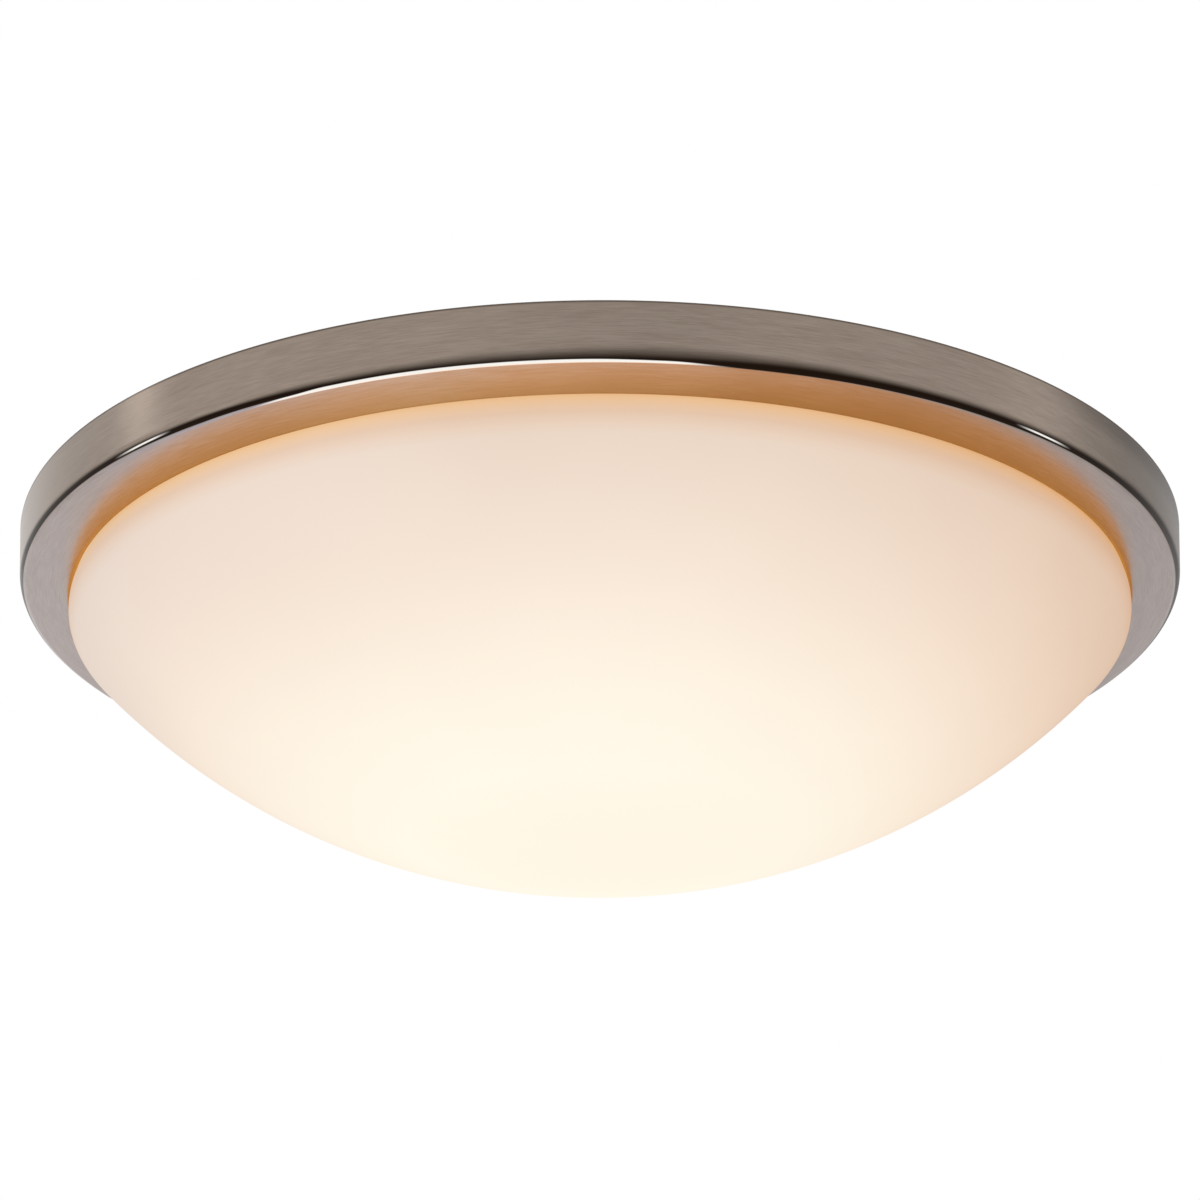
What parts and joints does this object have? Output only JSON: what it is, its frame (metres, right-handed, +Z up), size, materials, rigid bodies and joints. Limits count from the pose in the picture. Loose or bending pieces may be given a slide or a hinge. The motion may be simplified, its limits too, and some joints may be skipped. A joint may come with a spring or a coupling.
{
  "type": "flush mount ceiling light",
  "caption": "Round flush mount ceiling light: shallow satin opal glass bowl in a brushed nickel ring, held by springs under a white pan with screw-base lamps inside.",
  "frame": {"origin": "centre of the two junction box screw slots, in the plane of the ceiling", "axes": "+Z up into the ceiling, +X along the bar with the slots, -Y towards the picture's camera"},
  "size_m": [0.4215, 0.4216, 0.1165],
  "materials": {
    "brushed_nickel": "fine brushing round the band, satin lacquer",
    "white_enamel": "baked white enamel",
    "zinc_steel": "zinc plated",
    "spring_steel": "bright spring strip",
    "opal_glass": "satin opal, lit from inside",
    "brass": "bright",
    "brass_nut": "knurled, bright",
    "green_screw": "green dyed plating",
    "black_nylon": "moulded",
    "white_nylon": "moulded",
    "black_insulation": "extruded",
    "white_insulation": "extruded",
    "porcelain": "glazed white",
    "screw_shell": "rolled",
    "bulb_insulator": "black glass with a solder tip",
    "bulb_glass": "soft white coating"
  },
  "bodies": {
    "fixture": {"trim_ring": "brushed_nickel", "ceiling_pan": "white_enamel", "ring_brackets": "zinc_steel", "ring_screws": "zinc_steel", "glass_clips": "spring_steel", "clip_rivets": "zinc_steel", "crossbar_box_bar": "zinc_steel", "crossbar_fixture_bar": "zinc_steel", "crossbar_eyelet": "brass", "mounting_studs": "zinc_steel", "stud_nuts": "brass_nut", "ground_screw": "green_screw", "wire_bushing": "black_nylon", "lamp_bracket": "zinc_steel", "bracket_screws": "zinc_steel", "terminal_block": "white_nylon", "terminal_screws": "brass", "black_leads": "black_insulation", "white_leads": "white_insulation", "socket_screws": "zinc_steel", "socket_1_body": "porcelain", "socket_1_shell": "screw_shell", "socket_1_contact": "brass", "socket_2_body": "porcelain", "socket_2_shell": "screw_shell", "socket_2_contact": "brass", "socket_3_body": "porcelain", "socket_3_shell": "screw_shell", "socket_3_contact": "brass"},
    "glass": {"glass_bowl": "opal_glass"},
    "bulb_1_carrier": {"bulb_1_tip": "bulb_insulator"},
    "bulb_1": {"bulb_1_cap": "screw_shell", "bulb_1_globe": "bulb_glass"},
    "bulb_2_carrier": {"bulb_2_tip": "bulb_insulator"},
    "bulb_2": {"bulb_2_cap": "screw_shell", "bulb_2_globe": "bulb_glass"},
    "bulb_3_carrier": {"bulb_3_tip": "bulb_insulator"},
    "bulb_3": {"bulb_3_cap": "screw_shell", "bulb_3_globe": "bulb_glass"}
  },
  "joints": [
    {"name": "glass_drop", "type": "slide", "parent": "fixture", "child": "glass", "axis": [0, 0, -1], "range_m": [0, 0.15], "deforming": ["glass_clips"]},
    {"name": "bulb_1_travel", "type": "slide", "parent": "fixture", "child": "bulb_1_carrier", "axis": [0.9848, 0.1736, 0], "range_m": [0, 0.0109]},
    {"name": "bulb_1_turn", "type": "hinge", "parent": "bulb_1_carrier", "child": "bulb_1", "pos_m": [0.04924, 0.00868, -0.041], "axis": [0.9848, 0.1736, 0], "range_deg": [0, 1080]},
    {"name": "bulb_2_travel", "type": "slide", "parent": "fixture", "child": "bulb_2_carrier", "axis": [-0.6428, 0.766, 0], "range_m": [0, 0.0109]},
    {"name": "bulb_2_turn", "type": "hinge", "parent": "bulb_2_carrier", "child": "bulb_2", "pos_m": [-0.03214, 0.0383, -0.041], "axis": [-0.6428, 0.766, 0], "range_deg": [0, 1080]},
    {"name": "bulb_3_travel", "type": "slide", "parent": "fixture", "child": "bulb_3_carrier", "axis": [-0.342, -0.9397, 0], "range_m": [0, 0.0109]},
    {"name": "bulb_3_turn", "type": "hinge", "parent": "bulb_3_carrier", "child": "bulb_3", "pos_m": [-0.0171, -0.04698, -0.041], "axis": [-0.342, -0.9397, 0], "range_deg": [0, 1080]}
  ],
  "couplings": [
    {"joint": "bulb_1_travel", "follows": "bulb_1_turn", "m_per_rad": 0.00057773},
    {"joint": "bulb_2_travel", "follows": "bulb_2_turn", "m_per_rad": 0.00057773},
    {"joint": "bulb_3_travel", "follows": "bulb_3_turn", "m_per_rad": 0.00057773}
  ]
}
